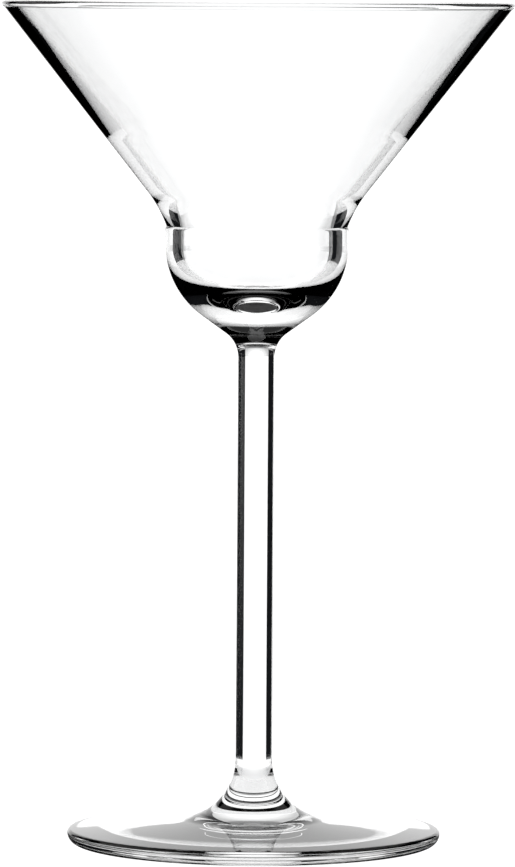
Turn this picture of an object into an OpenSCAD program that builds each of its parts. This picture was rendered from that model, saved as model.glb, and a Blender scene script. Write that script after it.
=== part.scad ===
// Martini glass: a bowl with a small round cup under its cone, a solid stem and a foot.
// The three pieces are fused face to face at two seams, one at each end of the stem.
// The origin is the middle of the ring that the foot rests on. Millimetres, +Z up.

/* [Whole glass] */
// Height from the table to the top of the lip
glass_h = 190; // [160:1:230]
// Outside diameter across the lip
rim_d = 115.4; // [96:0.2:139]
// Outside diameter of the foot
foot_d = 84.2; // [70:0.2:102]

/* [Seams] */
// Height of the bowl above its seam with the stem
bowl_h = 76.8; // [64:0.2:93]
// Height of the foot below its seam with the stem
foot_h = 12.9; // [10.7:0.1:15.5]

/* [Bowl] */
// Outside diameter of the cup under the cone
cup_d = 41.4; // [34.4:0.1:50]
// Height of the shoulder, where cone and cup meet, above the upper seam
shoulder_h = 26.4; // [25:0.1:32]
// Depth of the groove under the cone, measured inwards from the side of the cup
shoulder_groove = 0.25; // [0.1:0.05:0.6]
// Radius of the rounded top edge of the cup
shoulder_round = 1.2; // [0.7:0.1:2]
// Outside radius that turns the side of the cup into its bottom
cup_round = 20; // [15:0.5:21]
// Height of the lowest point of that radius above the upper seam
cup_base = 2.5; // [2.2:0.1:3.5]
// Angle of the cone, from upright, where it leaves the groove
cone_start_angle = 20; // [5:1:26]
// Radius of the curve from the groove to the straight side of the cone
cone_round = 28; // [15:1:40]

/* [Walls] */
// Wall of the cup
cup_wall = 3.6; // [2.5:0.1:5.5]
// Wall of the lower part of the cone, up to the knee
cone_wall = 3.4; // [2.4:0.1:4]
// Height of the knee, where the wall starts to thin towards the lip, above the upper seam
knee_h = 45.8; // [39:0.2:57]
// Wall of the cone just under the lip
rim_wall = 1.1; // [0.8:0.1:1.4]
// Thickness of the rounded lip
lip_d = 1.5; // [1.5:0.1:2.4]
// Thickness of the glass between the upper seam and the inside of the cup
cup_floor = 9.1; // [7.8:0.1:12]
// Inside radius between the wall and the floor of the cup
cup_floor_round = 10; // [8:0.5:13]
// Radius of the dish in the middle of the floor of the cup
cup_floor_dish = 21.5; // [18:0.5:40]
// Inside radius that turns the wall of the cup into the cone
cone_inner_round = 14; // [10:0.5:18]

/* [Stem] */
// Diameter of the stem between its two flares
stem_d = 8.2; // [6.8:0.1:9.9]
// Radius of the upper flare, from the stem out to the underside of the cup
neck_round = 6.6; // [5.5:0.1:8]
// Length of the upper flare below the upper seam
neck_drop = 3.1; // [2.5:0.1:4.5]
// Radius of the lower flare, from the stem out to the top of the foot
flare_round = 13.9; // [11.5:0.1:16.7]
// Length of the lower flare above the lower seam
flare_rise = 6.4; // [5.3:0.1:7.7]

/* [Foot] */
// Radius of the lower part of the rounded edge
edge_under = 2.4; // [1.8:0.1:3]
// Radius of the upper part of the rounded edge
edge_over = 0.9; // [0.6:0.1:1.4]
// Width of the flat ring that the foot stands on
ring_w = 5.5; // [3:0.5:10]
// Height of the hollow under the middle of the foot
hollow_h = 1.4; // [0.6:0.1:2.4]

/* [Hidden] */
$fn = 96;
glass_colour = [0.87, 0.91, 0.93, 0.45];
// Straight pieces in each arc of an outline
facets = 12;

// A point of a circle, from its centre, radius and angle
function on_circle(c, r, a) = c + r * [cos(a), sin(a)];

// Points along an arc, both ends included
function arc(c, r, from, to, n = facets) = [for (i = [0:n]) on_circle(c, r, from + (to - from) * i / n)];

// Direction, from one circle to the line that touches it and a second circle across the line
function touch_angle(gap, radii, side) = atan2(gap.y, gap.x) + side * acos(radii / norm(gap));

// Stem: the seams and the centres of the two flares
upper_seam_z = glass_h - bowl_h;
lower_seam_z = foot_h;
stem_r = stem_d / 2;
neck_c = [stem_r + neck_round, upper_seam_z - neck_drop];
neck_seam_angle = 180 - asin(neck_drop / neck_round);
flare_c = [stem_r + flare_round, lower_seam_z + flare_rise];
flare_seam_angle = asin(flare_rise / flare_round) - 180;

// Underside of the cup: a straight line touches the upper flare and the round bottom
cup_r = cup_d / 2;
cup_c = [cup_r - cup_round, upper_seam_z + cup_base + cup_round];
underside_angle = touch_angle(cup_c - neck_c, neck_round + cup_round, 1);

// Shoulder: the top edge of the cup rounds inwards to the groove
shoulder_z = upper_seam_z + shoulder_h;
shoulder_turn = acos(1 - shoulder_groove / shoulder_round);
shoulder_c = [cup_r - shoulder_round, shoulder_z - shoulder_round * sin(shoulder_turn)];
groove = on_circle(shoulder_c, shoulder_round, shoulder_turn);

// Cone: an arc leaves the groove and runs on straight to the lip
cone_c = on_circle(groove, cone_round, -cone_start_angle);
lip_c = [(rim_d - lip_d) / 2, glass_h - lip_d / 2];
cone_angle = touch_angle(lip_c - cone_c, cone_round + rim_wall / 2, 1);
cone_start = on_circle(cone_c, cone_round, cone_angle);
across_wall = [cos(cone_angle), sin(cone_angle)];
up_cone = [across_wall.y, -across_wall.x];

// Inside: a taper from the lip to the knee, an even wall below it and a bend into the wall of the cup
inner_r = cup_r - cup_wall;
knee_rise = (upper_seam_z + knee_h - cone_start.y) / up_cone.y;
knee = cone_start + knee_rise * up_cone + cone_wall * across_wall;
lip_turn = acos(rim_wall / lip_d);
lip_gap = knee - lip_c;
taper_angle = 360 + atan2(lip_gap.y, lip_gap.x) - acos(rim_wall / 2 / norm(lip_gap));
bend_x = inner_r + cone_inner_round;
bend_start = cone_start + cone_wall * across_wall;
bend_drop = (cone_inner_round + (bend_x - bend_start.x) * across_wall.x) / across_wall.y;
bend_c = [bend_x, bend_start.y - bend_drop];

// Inside: the dished floor of the cup
floor_z = upper_seam_z + cup_floor;
dish_turn = asin((inner_r - cup_floor_round) / (cup_floor_dish - cup_floor_round));
dish_c = [0, floor_z + cup_floor_dish];
floor_c = on_circle(dish_c, cup_floor_dish - cup_floor_round, dish_turn - 90);

// Foot: its rounded edge, its sloping top and the hollow underneath
foot_r = foot_d / 2;
edge_under_c = [foot_r - edge_under, edge_under];
edge_over_c = [foot_r - edge_over, edge_under];
foot_top_angle = touch_angle(edge_over_c - flare_c, flare_round + edge_over, -1);
hollow_edge = edge_under_c.x - ring_w;
hollow_r = (hollow_edge * hollow_edge + hollow_h * hollow_h) / (2 * hollow_h);
hollow_turn = asin(hollow_edge / hollow_r);

// Outside of the bowl, from the upper seam to the lip
function bowl_outside() = concat(
    arc(neck_c, neck_round, neck_seam_angle, underside_angle),
    arc(cup_c, cup_round, underside_angle - 180, 0),
    arc(shoulder_c, shoulder_round, 0, shoulder_turn, 4),
    [for (i = [1:facets]) on_circle(
        cone_c,
        cone_round,
        180 - cone_start_angle + (cone_angle - 180 + cone_start_angle) * i / facets
    )]
);

// Rounded lip, from the outside of the cone over to its inside
function lip() = arc(lip_c, lip_d / 2, cone_angle - 180 - lip_turn, taper_angle + lip_turn, 16);

// Inside of the bowl, from below the lip to the middle of the floor
function bowl_inside() = concat(
    [knee],
    arc(bend_c, cone_inner_round, cone_angle, 180),
    arc(floor_c, cup_floor_round, 0, dish_turn - 90),
    [for (i = [1:6]) on_circle(dish_c, cup_floor_dish, dish_turn * (1 - i / 6) - 90)]
);

// Bowl: cone, shoulder and thick-bottomed cup
module bowl() {
    color(glass_colour)
        rotate_extrude()
            polygon(concat([[0, upper_seam_z]], bowl_outside(), lip(), bowl_inside()));
}

// Solid stem with a flare at each end
module stem() {
    color(glass_colour)
        rotate_extrude()
            polygon(concat(
                [[0, lower_seam_z]],
                arc(flare_c, flare_round, flare_seam_angle, -180, 8),
                arc(neck_c, neck_round, 180, neck_seam_angle, 8),
                [[0, upper_seam_z]]
            ));
}

// Foot: a flared disc that stands on a flat ring and is hollow underneath
module foot() {
    color(glass_colour)
        rotate_extrude()
            polygon(concat(
                arc([0, hollow_h - hollow_r], hollow_r, 90, 90 - hollow_turn),
                arc(edge_under_c, edge_under, -90, 0),
                arc(edge_over_c, edge_over, 0, foot_top_angle + 180),
                arc(flare_c, flare_round, foot_top_angle, flare_seam_angle),
                [[0, lower_seam_z]]
            ));
}

bowl();
stem();
foot();
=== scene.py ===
"""Martini glass: a blown bowl, a drawn stem and a turned foot, each spun from half of its section."""

import math

import bmesh
import bpy
from bpy.props import FloatProperty, FloatVectorProperty, IntProperty, PointerProperty
from mathutils import Matrix, Vector


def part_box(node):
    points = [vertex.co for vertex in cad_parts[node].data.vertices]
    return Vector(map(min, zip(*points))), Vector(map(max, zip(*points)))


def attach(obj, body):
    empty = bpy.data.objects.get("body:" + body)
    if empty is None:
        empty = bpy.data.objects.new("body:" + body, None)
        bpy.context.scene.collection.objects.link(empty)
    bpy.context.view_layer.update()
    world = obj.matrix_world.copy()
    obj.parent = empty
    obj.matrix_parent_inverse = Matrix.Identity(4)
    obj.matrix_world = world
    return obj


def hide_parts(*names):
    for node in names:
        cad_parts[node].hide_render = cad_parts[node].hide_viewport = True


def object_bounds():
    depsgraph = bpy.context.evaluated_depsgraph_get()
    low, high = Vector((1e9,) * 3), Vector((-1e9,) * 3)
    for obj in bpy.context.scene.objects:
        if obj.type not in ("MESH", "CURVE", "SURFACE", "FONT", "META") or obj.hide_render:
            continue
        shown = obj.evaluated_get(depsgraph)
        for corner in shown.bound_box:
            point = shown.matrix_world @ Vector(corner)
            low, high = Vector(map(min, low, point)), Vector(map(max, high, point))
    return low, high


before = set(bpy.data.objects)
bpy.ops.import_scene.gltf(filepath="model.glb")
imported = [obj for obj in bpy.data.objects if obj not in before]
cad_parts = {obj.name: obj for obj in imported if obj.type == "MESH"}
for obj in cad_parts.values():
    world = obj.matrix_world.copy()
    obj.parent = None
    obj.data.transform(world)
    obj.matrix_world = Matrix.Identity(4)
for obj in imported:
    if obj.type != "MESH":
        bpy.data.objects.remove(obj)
CAD_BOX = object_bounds()
BOWL_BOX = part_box("bowl")
STEM_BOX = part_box("stem")
FOOT_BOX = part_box("foot")
# Length of the pieces of a straight line in an outline
LINE_PIECE = 0.0009
# Points nearer than this are in one place
SAME_PLACE = 0.000001
# Faces that turn more than this at an edge meet in a sharp edge
SHARP_EDGE = math.radians(25)
# Scale of the slow waves in the glass of each piece, where a larger one makes finer waves
BOWL_WAVES = 55
STEM_WAVES = 90
FOOT_WAVES = 70

# How far the table lies under the foot
TABLE_GAP = 0.0002
# Share of the foot's radius within which the table has its full shade
FULL_SHADE = 0.8
CARD_COLOUR = (0.014, 0.015, 0.017)
# Flat faces along a card and its slats
CARD_STEPS = 16
# Distance of each black card, its two ends as degrees from straight behind the glass, and the distance of
# its nearest slat. The slats are low, stand between there and the card, and hide the table from level rays.
# The front card has none. The camera card stands in it and gives it slats there.
CARDS = {
    "right card": (0.5, 27, 105, 0.125),
    "left card": (0.5, -31, -66, 0.125),
    "front card": (0.85, 105, 244, 0.85),
    "camera card": (0.85, 153, 207, 0.125),
}
SLAT_GAP = 0.001
# Brightness of the studio from straight below (0) over the horizon (0.5) to straight above (1)
OVERHEAD = [(0.44, 0), (0.475, 1), (0.71, 1), (0.76, 0.45), (0.9, 0.35), (0.95, 0.03)]
# Its brightness from behind the camera (0) over the sides (0.5) to straight behind the glass (1)
AROUND = [(0.2, 0.1), (0.3, 0.8), (0.7, 0.8), (0.85, 0.4), (0.93, 0.5), (0.97, 0.75), (0.99, 1)]

bl_info = {
    "name": "Martini Glass",
    "version": (1, 0, 0),
    "blender": (4, 5, 0),
    "location": "3D View > Sidebar > Glass",
    "description": "Turns the three fused pieces of a martini glass and sets up a bright studio for it",
    "category": "Object",
}


def length(name, description, default):
    """A length of the glass, in metres."""
    return FloatProperty(
        name=name, description=description, default=default, min=0, unit="LENGTH", precision=5
    )


def angle(name, description, degrees):
    """An angle, given in degrees."""
    return FloatProperty(name=name, description=description, default=math.radians(degrees), subtype="ANGLE")


class GlassSizes(bpy.types.PropertyGroup):
    """Sizes of the whole glass, its walls and its curves."""

    height: length("Height", "From the table to the top of the lip", CAD_BOX[1].z)
    rim_diameter: length("Rim diameter", "Outside diameter across the lip", 2 * BOWL_BOX[1].x)
    foot_diameter: length("Foot diameter", "Outside diameter of the foot", 2 * FOOT_BOX[1].x)
    upper_seam: length("Upper seam", "Height of the seam between stem and bowl", STEM_BOX[1].z)
    lower_seam: length("Lower seam", "Height of the seam between foot and stem", STEM_BOX[0].z)

    cup_diameter: length("Cup diameter", "Outside diameter of the cup under the cone", 0.0414)
    shoulder_height: length("Shoulder height", "From the upper seam to the top of the cup", 0.0264)
    shoulder_groove: length("Shoulder groove", "Depth of the groove under the cone", 0.00025)
    shoulder_round: length("Shoulder radius", "Radius of the rounded top edge of the cup", 0.0012)
    cup_round: length("Cup radius", "Radius that turns the side of the cup into its bottom", 0.02)
    cup_base: length("Cup base", "Lowest point of the cup radius above the upper seam", 0.0025)
    cone_start: angle("Cone start", "Angle of the cone, from upright, where it leaves the groove", 20)
    cone_round: length("Cone radius", "Radius of the curve from the groove to the straight cone", 0.028)

    cup_wall: length("Cup wall", "Wall of the cup", 0.0036)
    cone_wall: length("Cone wall", "Wall of the lower part of the cone, up to the knee", 0.0034)
    knee_height: length("Knee height", "Height above the upper seam where the wall starts to thin", 0.0458)
    rim_wall: length("Rim wall", "Wall of the cone just under the lip", 0.0011)
    lip: length("Lip", "Thickness of the rounded lip", 0.0015)
    cup_floor: length("Cup floor", "Glass between the upper seam and the inside of the cup", 0.0091)
    cup_floor_round: length("Floor corner", "Inside radius between wall and floor of the cup", 0.01)
    cup_floor_dish: length("Floor dish", "Radius of the dish in the middle of the cup's floor", 0.0215)
    cone_inner_round: length("Inner bend", "Inside radius that turns the cup into the cone", 0.014)

    stem_diameter: length("Stem diameter", "Diameter between the two flares", 0.0082)
    neck_round: length("Neck radius", "Radius of the upper flare of the stem", 0.0066)
    neck_drop: length("Neck drop", "Length of the upper flare below the upper seam", 0.0031)
    flare_round: length("Flare radius", "Radius of the lower flare of the stem", 0.0139)
    flare_rise: length("Flare rise", "Length of the lower flare above the lower seam", 0.0064)

    edge_under: length("Edge under", "Radius of the lower part of the rounded edge of the foot", 0.0024)
    edge_over: length("Edge over", "Radius of the upper part of the rounded edge of the foot", 0.0009)
    ring_width: length("Ring width", "Width of the flat ring that the foot stands on", 0.0055)
    hollow_height: length("Hollow height", "Height of the hollow under the foot", 0.0014)

    round_steps: IntProperty(name="Steps round", description="Facets round each piece", default=256, min=24)


class GlassFinish(bpy.types.PropertyGroup):
    """Colour and surface of the glass."""

    tint: FloatVectorProperty(
        name="Tint",
        description="Colour of clear glass",
        default=(0.984, 0.99, 0.994),
        size=3,
        subtype="COLOR",
    )
    ior: FloatProperty(
        name="Refraction", description="How strongly the glass bends light", default=1.52, min=1
    )
    wave_height: length("Wave height", "Depth of the slow waves left by blowing and drawing", 0.000006)


class StageLook(bpy.types.PropertyGroup):
    """Floor, light and camera."""

    floor_colour: FloatVectorProperty(
        name="Floor colour",
        description="Colour of the table",
        default=(0.6, 0.6, 0.6),
        size=3,
        subtype="COLOR",
    )
    floor_glow: FloatProperty(
        name="Floor glow", description="Light that comes up through the table", default=1.05
    )
    foot_shade: FloatProperty(name="Foot shade", description="Share of the glow under the foot", default=0.8)
    floor_radius: length("Floor radius", "Radius of the table", 8)
    card_height: length("Card height", "Height of the black cards round the glass", 0.34)
    slat_height: length("Slat height", "Height of the low black slats in front of the cards", 0.00012)
    wall_light: FloatProperty(name="Wall light", description="Brightness of the white wall", default=1.3)
    camera_distance: length("Camera distance", "From the camera to the middle of the glass", 1.52)
    camera_height: length("Camera height", "Height of the camera above the table", 0.1983)
    camera_side: length("Camera side", "How far the camera stands to the right", 0.00038)
    camera_pitch: angle("Camera pitch", "How far the camera looks down", 3.97)
    camera_roll: angle("Camera roll", "How far the camera leans", 0.357)
    lens: FloatProperty(name="Lens", description="Focal length in millimetres", default=280.7, min=1)


class Outline:
    """Half of a section in the XZ plane, drawn from point to point and spun about the Z axis."""

    def __init__(self, x, z):
        self.bm = bmesh.new()
        self.tip = self.bm.verts.new((x, 0, z))

    def to(self, x, z):
        """Draws a straight line, in short pieces so that the shading stays true beside an arc."""
        start, end = self.tip.co.copy(), Vector((x, 0, z))
        pieces = max(1, math.ceil((end - start).length / LINE_PIECE))
        for piece in range(pieces):
            made = bmesh.ops.extrude_vert_indiv(self.bm, verts=[self.tip])
            self.tip = made["verts"][0]
            self.tip.co = start.lerp(end, (piece + 1) / pieces)

    def round(self, centre, turn, steps):
        """Draws an arc about a centre, anticlockwise when the turn is positive."""
        made = bmesh.ops.spin(
            self.bm,
            geom=[self.tip],
            cent=(centre[0], 0, centre[1]),
            axis=(0, -1, 0),
            angle=turn,
            steps=steps,
        )
        self.tip = next(part for part in made["geom_last"] if isinstance(part, bmesh.types.BMVert))

    def turned(self, name, steps):
        """Spins the section into a closed piece."""
        bm = self.bm
        bmesh.ops.spin(
            bm,
            geom=bm.verts[:] + bm.edges[:],
            cent=(0, 0, 0),
            axis=(0, 0, 1),
            angle=math.tau,
            steps=steps,
            use_merge=True,
        )
        bmesh.ops.remove_doubles(bm, verts=bm.verts, dist=SAME_PLACE)
        bmesh.ops.recalc_face_normals(bm, faces=bm.faces)
        for face in bm.faces:
            face.smooth = True
        for edge in bm.edges:
            edge.smooth = edge.calc_face_angle(0) < SHARP_EDGE
        mesh = bpy.data.meshes.new(name)
        bm.to_mesh(mesh)
        bm.free()
        piece = bpy.data.objects.new(name, mesh)
        bpy.context.collection.objects.link(piece)
        return piece


def on_circle(centre, radius, turn):
    """A point of a circle in the section."""
    return Vector((centre[0] + radius * math.cos(turn), centre[1] + radius * math.sin(turn)))


def touch_angle(start, end, radii, side):
    """Direction, from one circle to the line that touches it and a second circle across the line."""
    gap = Vector(end) - Vector(start)
    return math.atan2(gap.y, gap.x) + side * math.acos(radii / gap.length)


def neck_circle(sizes):
    """Centre of the upper flare, and the angle at which the upper seam cuts it."""
    centre = Vector((sizes.stem_diameter / 2 + sizes.neck_round, sizes.upper_seam - sizes.neck_drop))
    return centre, math.pi - math.asin(sizes.neck_drop / sizes.neck_round)


def flare_circle(sizes):
    """Centre of the lower flare, and the angle at which the lower seam cuts it."""
    centre = Vector((sizes.stem_diameter / 2 + sizes.flare_round, sizes.lower_seam + sizes.flare_rise))
    return centre, math.asin(sizes.flare_rise / sizes.flare_round) - math.pi


def bowl_outline(sizes):
    """Section of the bowl, from the seam round the outside to the lip and down the inside."""
    neck, neck_seam = neck_circle(sizes)
    cup_r = sizes.cup_diameter / 2
    cup = Vector((cup_r - sizes.cup_round, sizes.upper_seam + sizes.cup_base + sizes.cup_round))
    underside = touch_angle(neck, cup, sizes.neck_round + sizes.cup_round, 1)
    shoulder_turn = math.acos(1 - sizes.shoulder_groove / sizes.shoulder_round)
    shoulder_z = sizes.upper_seam + sizes.shoulder_height - sizes.shoulder_round * math.sin(shoulder_turn)
    shoulder = Vector((cup_r - sizes.shoulder_round, shoulder_z))
    groove = on_circle(shoulder, sizes.shoulder_round, shoulder_turn)
    cone = on_circle(groove, sizes.cone_round, -sizes.cone_start)
    lip = Vector(((sizes.rim_diameter - sizes.lip) / 2, sizes.height - sizes.lip / 2))
    cone_angle = touch_angle(cone, lip, sizes.cone_round + sizes.rim_wall / 2, 1)
    cone_foot = on_circle(cone, sizes.cone_round, cone_angle)
    across = Vector((math.cos(cone_angle), math.sin(cone_angle)))
    along = Vector((across.y, -across.x))

    inner_r = cup_r - sizes.cup_wall
    rise = (sizes.upper_seam + sizes.knee_height - cone_foot.y) / along.y
    knee = cone_foot + rise * along + sizes.cone_wall * across
    lip_turn = math.acos(sizes.rim_wall / sizes.lip)
    gap = knee - lip
    taper_angle = math.tau + math.atan2(gap.y, gap.x) - math.acos(sizes.rim_wall / 2 / gap.length)
    bend_x = inner_r + sizes.cone_inner_round
    bend_foot = cone_foot + sizes.cone_wall * across
    bend_drop = (sizes.cone_inner_round + (bend_x - bend_foot.x) * across.x) / across.y
    bend = Vector((bend_x, bend_foot.y - bend_drop))

    line = Outline(0, sizes.upper_seam)
    line.to(*on_circle(neck, sizes.neck_round, neck_seam))
    line.round(neck, underside - neck_seam, steps=24)
    line.to(*on_circle(cup, sizes.cup_round, underside - math.pi))
    line.round(cup, math.pi - underside, steps=40)
    line.to(cup_r, shoulder.y)
    line.round(shoulder, shoulder_turn, steps=8)
    line.round(cone, cone_angle - math.pi + sizes.cone_start, steps=24)
    line.to(*on_circle(lip, sizes.lip / 2, cone_angle - math.pi - lip_turn))
    line.round(lip, taper_angle - cone_angle + math.pi + 2 * lip_turn, steps=24)
    line.to(*knee)
    line.to(*on_circle(bend, sizes.cone_inner_round, cone_angle))
    line.round(bend, math.pi - cone_angle, steps=24)

    floor_z = sizes.upper_seam + sizes.cup_floor
    dish_turn = math.asin((inner_r - sizes.cup_floor_round) / (sizes.cup_floor_dish - sizes.cup_floor_round))
    dish = Vector((0, floor_z + sizes.cup_floor_dish))
    corner = on_circle(dish, sizes.cup_floor_dish - sizes.cup_floor_round, dish_turn - math.pi / 2)
    line.to(inner_r, corner.y)
    line.round(corner, dish_turn - math.pi / 2, steps=24)
    line.round(dish, -dish_turn, steps=16)
    return line


def stem_outline(sizes):
    """Section of the stem, from the lower seam up the side to the upper seam."""
    neck, neck_seam = neck_circle(sizes)
    flare, flare_seam = flare_circle(sizes)
    line = Outline(0, sizes.lower_seam)
    line.to(*on_circle(flare, sizes.flare_round, flare_seam))
    line.round(flare, -math.pi - flare_seam, steps=24)
    line.to(sizes.stem_diameter / 2, neck.y)
    line.round(neck, neck_seam - math.pi, steps=24)
    line.to(0, sizes.upper_seam)
    return line


def foot_outline(sizes):
    """Section of the foot, from the hollow underneath round the edge and up to the seam."""
    flare, flare_seam = flare_circle(sizes)
    foot_r = sizes.foot_diameter / 2
    under = Vector((foot_r - sizes.edge_under, sizes.edge_under))
    over = Vector((foot_r - sizes.edge_over, sizes.edge_under))
    top = touch_angle(flare, over, sizes.flare_round + sizes.edge_over, -1)
    hollow_edge = under.x - sizes.ring_width
    hollow_r = (hollow_edge**2 + sizes.hollow_height**2) / (2 * sizes.hollow_height)
    hollow_turn = math.asin(hollow_edge / hollow_r)
    line = Outline(0, sizes.hollow_height)
    line.round((0, sizes.hollow_height - hollow_r), -hollow_turn, steps=32)
    line.to(under.x, 0)
    line.round(under, math.pi / 2, steps=20)
    line.round(over, top + math.pi, steps=16)
    line.to(*on_circle(flare, sizes.flare_round, top))
    line.round(flare, flare_seam - top, steps=32)
    line.to(0, sizes.lower_seam)
    return line


def surface_group():
    """Slow waves and wiping haze of worked glass, as a node group."""
    name = "Worked glass"
    if name in bpy.data.node_groups:
        return bpy.data.node_groups[name]
    group = bpy.data.node_groups.new(name, "ShaderNodeTree")
    side = group.interface.new_socket
    side("Wave size", in_out="INPUT", socket_type="NodeSocketFloat").default_value = 60
    side("Haze size", in_out="INPUT", socket_type="NodeSocketFloat").default_value = 220
    side("Tint", in_out="INPUT", socket_type="NodeSocketColor")
    side("Tint", in_out="OUTPUT", socket_type="NodeSocketColor")
    side("Roughness", in_out="OUTPUT", socket_type="NodeSocketFloat")
    side("Height", in_out="OUTPUT", socket_type="NodeSocketFloat")
    nodes, link = group.nodes, group.links.new
    given = nodes.new("NodeGroupInput")
    result = nodes.new("NodeGroupOutput")
    place = nodes.new("ShaderNodeTexCoord")
    wave = nodes.new("ShaderNodeTexNoise")
    wave.inputs["Detail"].default_value = 1
    link(place.outputs["Object"], wave.inputs["Vector"])
    link(given.outputs["Wave size"], wave.inputs["Scale"])
    link(wave.outputs["Fac"], result.inputs["Height"])
    haze = nodes.new("ShaderNodeTexNoise")
    haze.inputs["Detail"].default_value = 4
    link(place.outputs["Object"], haze.inputs["Vector"])
    link(given.outputs["Haze size"], haze.inputs["Scale"])
    dull = nodes.new("ShaderNodeMapRange")
    dull.inputs["From Min"].default_value = 0.55
    dull.inputs["From Max"].default_value = 0.8
    dull.inputs["To Min"].default_value = 0
    dull.inputs["To Max"].default_value = 0.03
    link(haze.outputs["Fac"], dull.inputs["Value"])
    link(dull.outputs["Result"], result.inputs["Roughness"])
    mix = nodes.new("ShaderNodeMix")
    mix.data_type = "RGBA"
    mix.inputs["B"].default_value = (1, 1, 1, 1)
    link(wave.outputs["Fac"], mix.inputs["Factor"])
    link(given.outputs["Tint"], mix.inputs["A"])
    link(mix.outputs["Result"], result.inputs["Tint"])
    return group


def glass_material(name, finish, wave_size):
    """Clear glass with the marks of its making."""
    material = bpy.data.materials.new(name)
    material.use_nodes = True
    nodes, link = material.node_tree.nodes, material.node_tree.links.new
    shader = nodes["Principled BSDF"]
    shader.inputs["Transmission Weight"].default_value = 1
    shader.inputs["Metallic"].default_value = 0
    shader.inputs["IOR"].default_value = finish.ior
    marks = nodes.new("ShaderNodeGroup")
    marks.node_tree = surface_group()
    marks.inputs["Wave size"].default_value = wave_size
    marks.inputs["Tint"].default_value = (*finish.tint, 1)
    link(marks.outputs["Tint"], shader.inputs["Base Color"])
    link(marks.outputs["Roughness"], shader.inputs["Roughness"])
    bump = nodes.new("ShaderNodeBump")
    bump.inputs["Distance"].default_value = finish.wave_height
    link(marks.outputs["Height"], bump.inputs["Height"])
    link(bump.outputs["Normal"], shader.inputs["Normal"])
    return material


def weld_material():
    """Inside of a fused seam, which light crosses as if nothing was there."""
    name = "Fused seam"
    if name in bpy.data.materials:
        return bpy.data.materials[name]
    material = bpy.data.materials.new(name)
    material.use_nodes = True
    shader = material.node_tree.nodes["Principled BSDF"]
    shader.inputs["Alpha"].default_value = 0
    return material


def finish_piece(piece, node, material, seams):
    """Gives a piece its glass, clears its fused faces and puts it in the frame."""
    mesh = piece.data
    mesh.materials.append(material)
    mesh.materials.append(weld_material())
    for face in mesh.polygons:
        level = abs(face.normal.z) > 0.999
        if level and any(abs(face.center.z - seam) < SAME_PLACE for seam in seams):
            face.material_index = 1
    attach(piece, "root")
    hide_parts(node)


class BowlOperator(bpy.types.Operator):
    """Turn the bowl: cone, shoulder and thick-bottomed cup"""

    bl_idname = "martini.bowl"
    bl_label = "Bowl"

    def execute(self, context):
        sizes, finish = context.scene.glass_sizes, context.scene.glass_finish
        piece = bowl_outline(sizes).turned("clear_bowl", sizes.round_steps)
        finish_piece(piece, "bowl", glass_material("Bowl glass", finish, BOWL_WAVES), [sizes.upper_seam])
        return {"FINISHED"}


class StemOperator(bpy.types.Operator):
    """Turn the solid stem with a flare at each end"""

    bl_idname = "martini.stem"
    bl_label = "Stem"

    def execute(self, context):
        sizes, finish = context.scene.glass_sizes, context.scene.glass_finish
        piece = stem_outline(sizes).turned("clear_stem", sizes.round_steps)
        seams = [sizes.lower_seam, sizes.upper_seam]
        finish_piece(piece, "stem", glass_material("Stem glass", finish, STEM_WAVES), seams)
        return {"FINISHED"}


class FootOperator(bpy.types.Operator):
    """Turn the foot: a flared disc on a flat ring, hollow underneath"""

    bl_idname = "martini.foot"
    bl_label = "Foot"

    def execute(self, context):
        sizes, finish = context.scene.glass_sizes, context.scene.glass_finish
        piece = foot_outline(sizes).turned("clear_foot", sizes.round_steps)
        finish_piece(piece, "foot", glass_material("Foot glass", finish, FOOT_WAVES), [sizes.lower_seam])
        return {"FINISHED"}


def floor_material(look):
    """Pale table top, lit through like a light box and shaded where the foot covers it."""
    material = bpy.data.materials.new("Table")
    material.use_nodes = True
    nodes, link = material.node_tree.nodes, material.node_tree.links.new
    shader = nodes["Principled BSDF"]
    shader.inputs["Base Color"].default_value = (*look.floor_colour, 1)
    shader.inputs["Roughness"].default_value = 1
    shader.inputs["Specular IOR Level"].default_value = 0
    shader.inputs["Emission Strength"].default_value = look.floor_glow
    place = nodes.new("ShaderNodeTexCoord")
    away = nodes.new("ShaderNodeVectorMath")
    away.operation = "LENGTH"
    link(place.outputs["Object"], away.inputs[0])
    shade = nodes.new("ShaderNodeMapRange")
    shade.interpolation_type = "SMOOTHSTEP"
    shade.inputs["From Min"].default_value = FULL_SHADE * FOOT_BOX[1].x
    shade.inputs["From Max"].default_value = FOOT_BOX[1].x
    shade.inputs["To Min"].default_value = look.foot_shade
    link(away.outputs["Value"], shade.inputs["Value"])
    link(shade.outputs["Result"], shader.inputs["Emission Color"])
    return material


def card_material():
    """Matt black card."""
    material = bpy.data.materials.new("Black card")
    material.use_nodes = True
    shader = material.node_tree.nodes["Principled BSDF"]
    shader.inputs["Base Color"].default_value = (*CARD_COLOUR, 1)
    shader.inputs["Specular IOR Level"].default_value = 0
    return material


def ramp(nodes, link, value, stops):
    """Brightness that follows a value from stop to stop."""
    blend = nodes.new("ShaderNodeValToRGB")
    blend.color_ramp.interpolation = "EASE"
    points = blend.color_ramp.elements
    while len(points) < len(stops):
        points.new(1)
    for point, (place, level) in zip(points, stops):
        point.position = place
        point.color = (level, level, level, 1)
    link(value, blend.inputs["Fac"])
    return blend.outputs["Color"]


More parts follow.
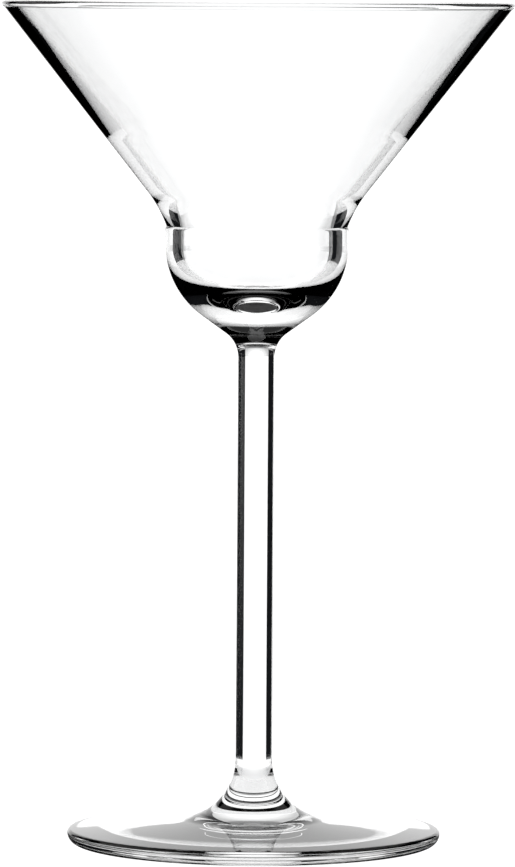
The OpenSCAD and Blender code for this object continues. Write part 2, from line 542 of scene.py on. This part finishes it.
def studio_world(look):
    """Soft studio light: brightest behind the glass, dim overhead and behind the camera."""
    world = bpy.data.worlds.new("Studio")
    world.use_nodes = True
    nodes, link = world.node_tree.nodes, world.node_tree.links.new
    place = nodes.new("ShaderNodeTexCoord")
    parts = nodes.new("ShaderNodeSeparateXYZ")
    link(place.outputs["Generated"], parts.inputs["Vector"])
    shares = []
    for axis, stops in (("Z", OVERHEAD), ("Y", AROUND)):
        share = nodes.new("ShaderNodeMapRange")
        share.inputs["From Min"].default_value = -1
        link(parts.outputs[axis], share.inputs["Value"])
        shares.append(ramp(nodes, link, share.outputs["Result"], stops))
    both = nodes.new("ShaderNodeMix")
    both.data_type = "RGBA"
    both.blend_type = "MULTIPLY"
    both.inputs["Factor"].default_value = 1
    link(shares[0], both.inputs["A"])
    link(shares[1], both.inputs["B"])
    link(both.outputs["Result"], nodes["Background"].inputs["Color"])
    nodes["Background"].inputs["Strength"].default_value = look.wall_light
    bpy.context.scene.world = world


def stage_part(name, material, bm):
    """Puts a finished mesh on the stage, beside the object itself."""
    mesh = bpy.data.meshes.new(name)
    bm.to_mesh(mesh)
    bm.free()
    mesh.materials.append(material)
    item = bpy.data.objects.new(name, mesh)
    bpy.context.collection.objects.link(item)
    return item


def black_cards(look):
    """Cards and slats that put the dark lines into the sides of the glass, out of the camera's sight."""
    black = card_material()
    for name, (radius, first, last, nearest) in CARDS.items():
        walls = [(radius, look.card_height)]
        for slat in range(round((radius - nearest) / SLAT_GAP)):
            walls.append((nearest + slat * SLAT_GAP, look.slat_height))
        bm = bmesh.new()
        turn = Matrix.Rotation(-math.radians(first), 4, "Z")
        for away, height in walls:
            start = turn @ Vector((0, away, 0))
            bm.edges.new((bm.verts.new(start), bm.verts.new(start + Vector((0, 0, height)))))
        bmesh.ops.spin(
            bm,
            geom=bm.verts[:] + bm.edges[:],
            cent=(0, 0, 0),
            axis=(0, 0, 1),
            angle=math.radians(first - last),
            steps=CARD_STEPS,
        )
        stage_part(name, black, bm).visible_camera = False


def studio_camera(look):
    """Camera in front of the glass, a little above its middle."""
    camera = bpy.data.objects.new("camera", bpy.data.cameras.new("camera"))
    camera.data.lens = look.lens
    camera.data.sensor_width = 36
    camera.data.clip_start = 0.05
    camera.data.clip_end = 100
    upright = Matrix.Rotation(math.pi / 2 - look.camera_pitch, 4, "X")
    lean = Matrix.Rotation(look.camera_roll, 4, "Z")
    place = Matrix.Translation((look.camera_side, -look.camera_distance, look.camera_height))
    camera.matrix_world = place @ upright @ lean
    bpy.context.collection.objects.link(camera)
    bpy.context.scene.camera = camera


class StageOperator(bpy.types.Operator):
    """Set the floor, the black cards, the studio light and the camera"""

    bl_idname = "martini.stage"
    bl_label = "Stage"

    def execute(self, context):
        look = context.scene.stage_look
        bm = bmesh.new()
        bmesh.ops.create_circle(bm, cap_ends=True, segments=96, radius=look.floor_radius)
        bmesh.ops.translate(bm, verts=bm.verts, vec=(0, 0, -TABLE_GAP))
        stage_part("table", floor_material(look), bm).visible_glossy = False
        black_cards(look)
        studio_world(look)
        studio_camera(look)
        context.scene.view_settings.view_transform = "Standard"
        return {"FINISHED"}


class GlassPanel(bpy.types.Panel):
    """Lists the pieces of the glass"""

    bl_idname = "VIEW3D_PT_martini_glass"
    bl_label = "Martini Glass"
    bl_space_type = "VIEW_3D"
    bl_region_type = "UI"
    bl_category = "Glass"

    def draw(self, context):
        for step in STEPS:
            self.layout.operator(step.bl_idname)
        for group in (context.scene.glass_sizes, context.scene.glass_finish, context.scene.stage_look):
            box = self.layout.box()
            for name in group.__annotations__:
                box.prop(group, name)


GROUPS = {"glass_sizes": GlassSizes, "glass_finish": GlassFinish, "stage_look": StageLook}
STEPS = [StageOperator, BowlOperator, StemOperator, FootOperator]


def register():
    """Adds the sizes, the steps and the panel to Blender."""
    for kind in [*GROUPS.values(), *STEPS, GlassPanel]:
        bpy.utils.register_class(kind)
    for name, group in GROUPS.items():
        setattr(bpy.types.Scene, name, PointerProperty(type=group))


def unregister():
    """Takes them away again."""
    for name in GROUPS:
        delattr(bpy.types.Scene, name)
    for kind in reversed([*GROUPS.values(), *STEPS, GlassPanel]):
        bpy.utils.unregister_class(kind)


def main():
    """Makes the stage and every piece."""
    register()
    bpy.ops.martini.stage()
    bpy.ops.martini.bowl()
    bpy.ops.martini.stem()
    bpy.ops.martini.foot()


if __name__ == "__main__":
    main()
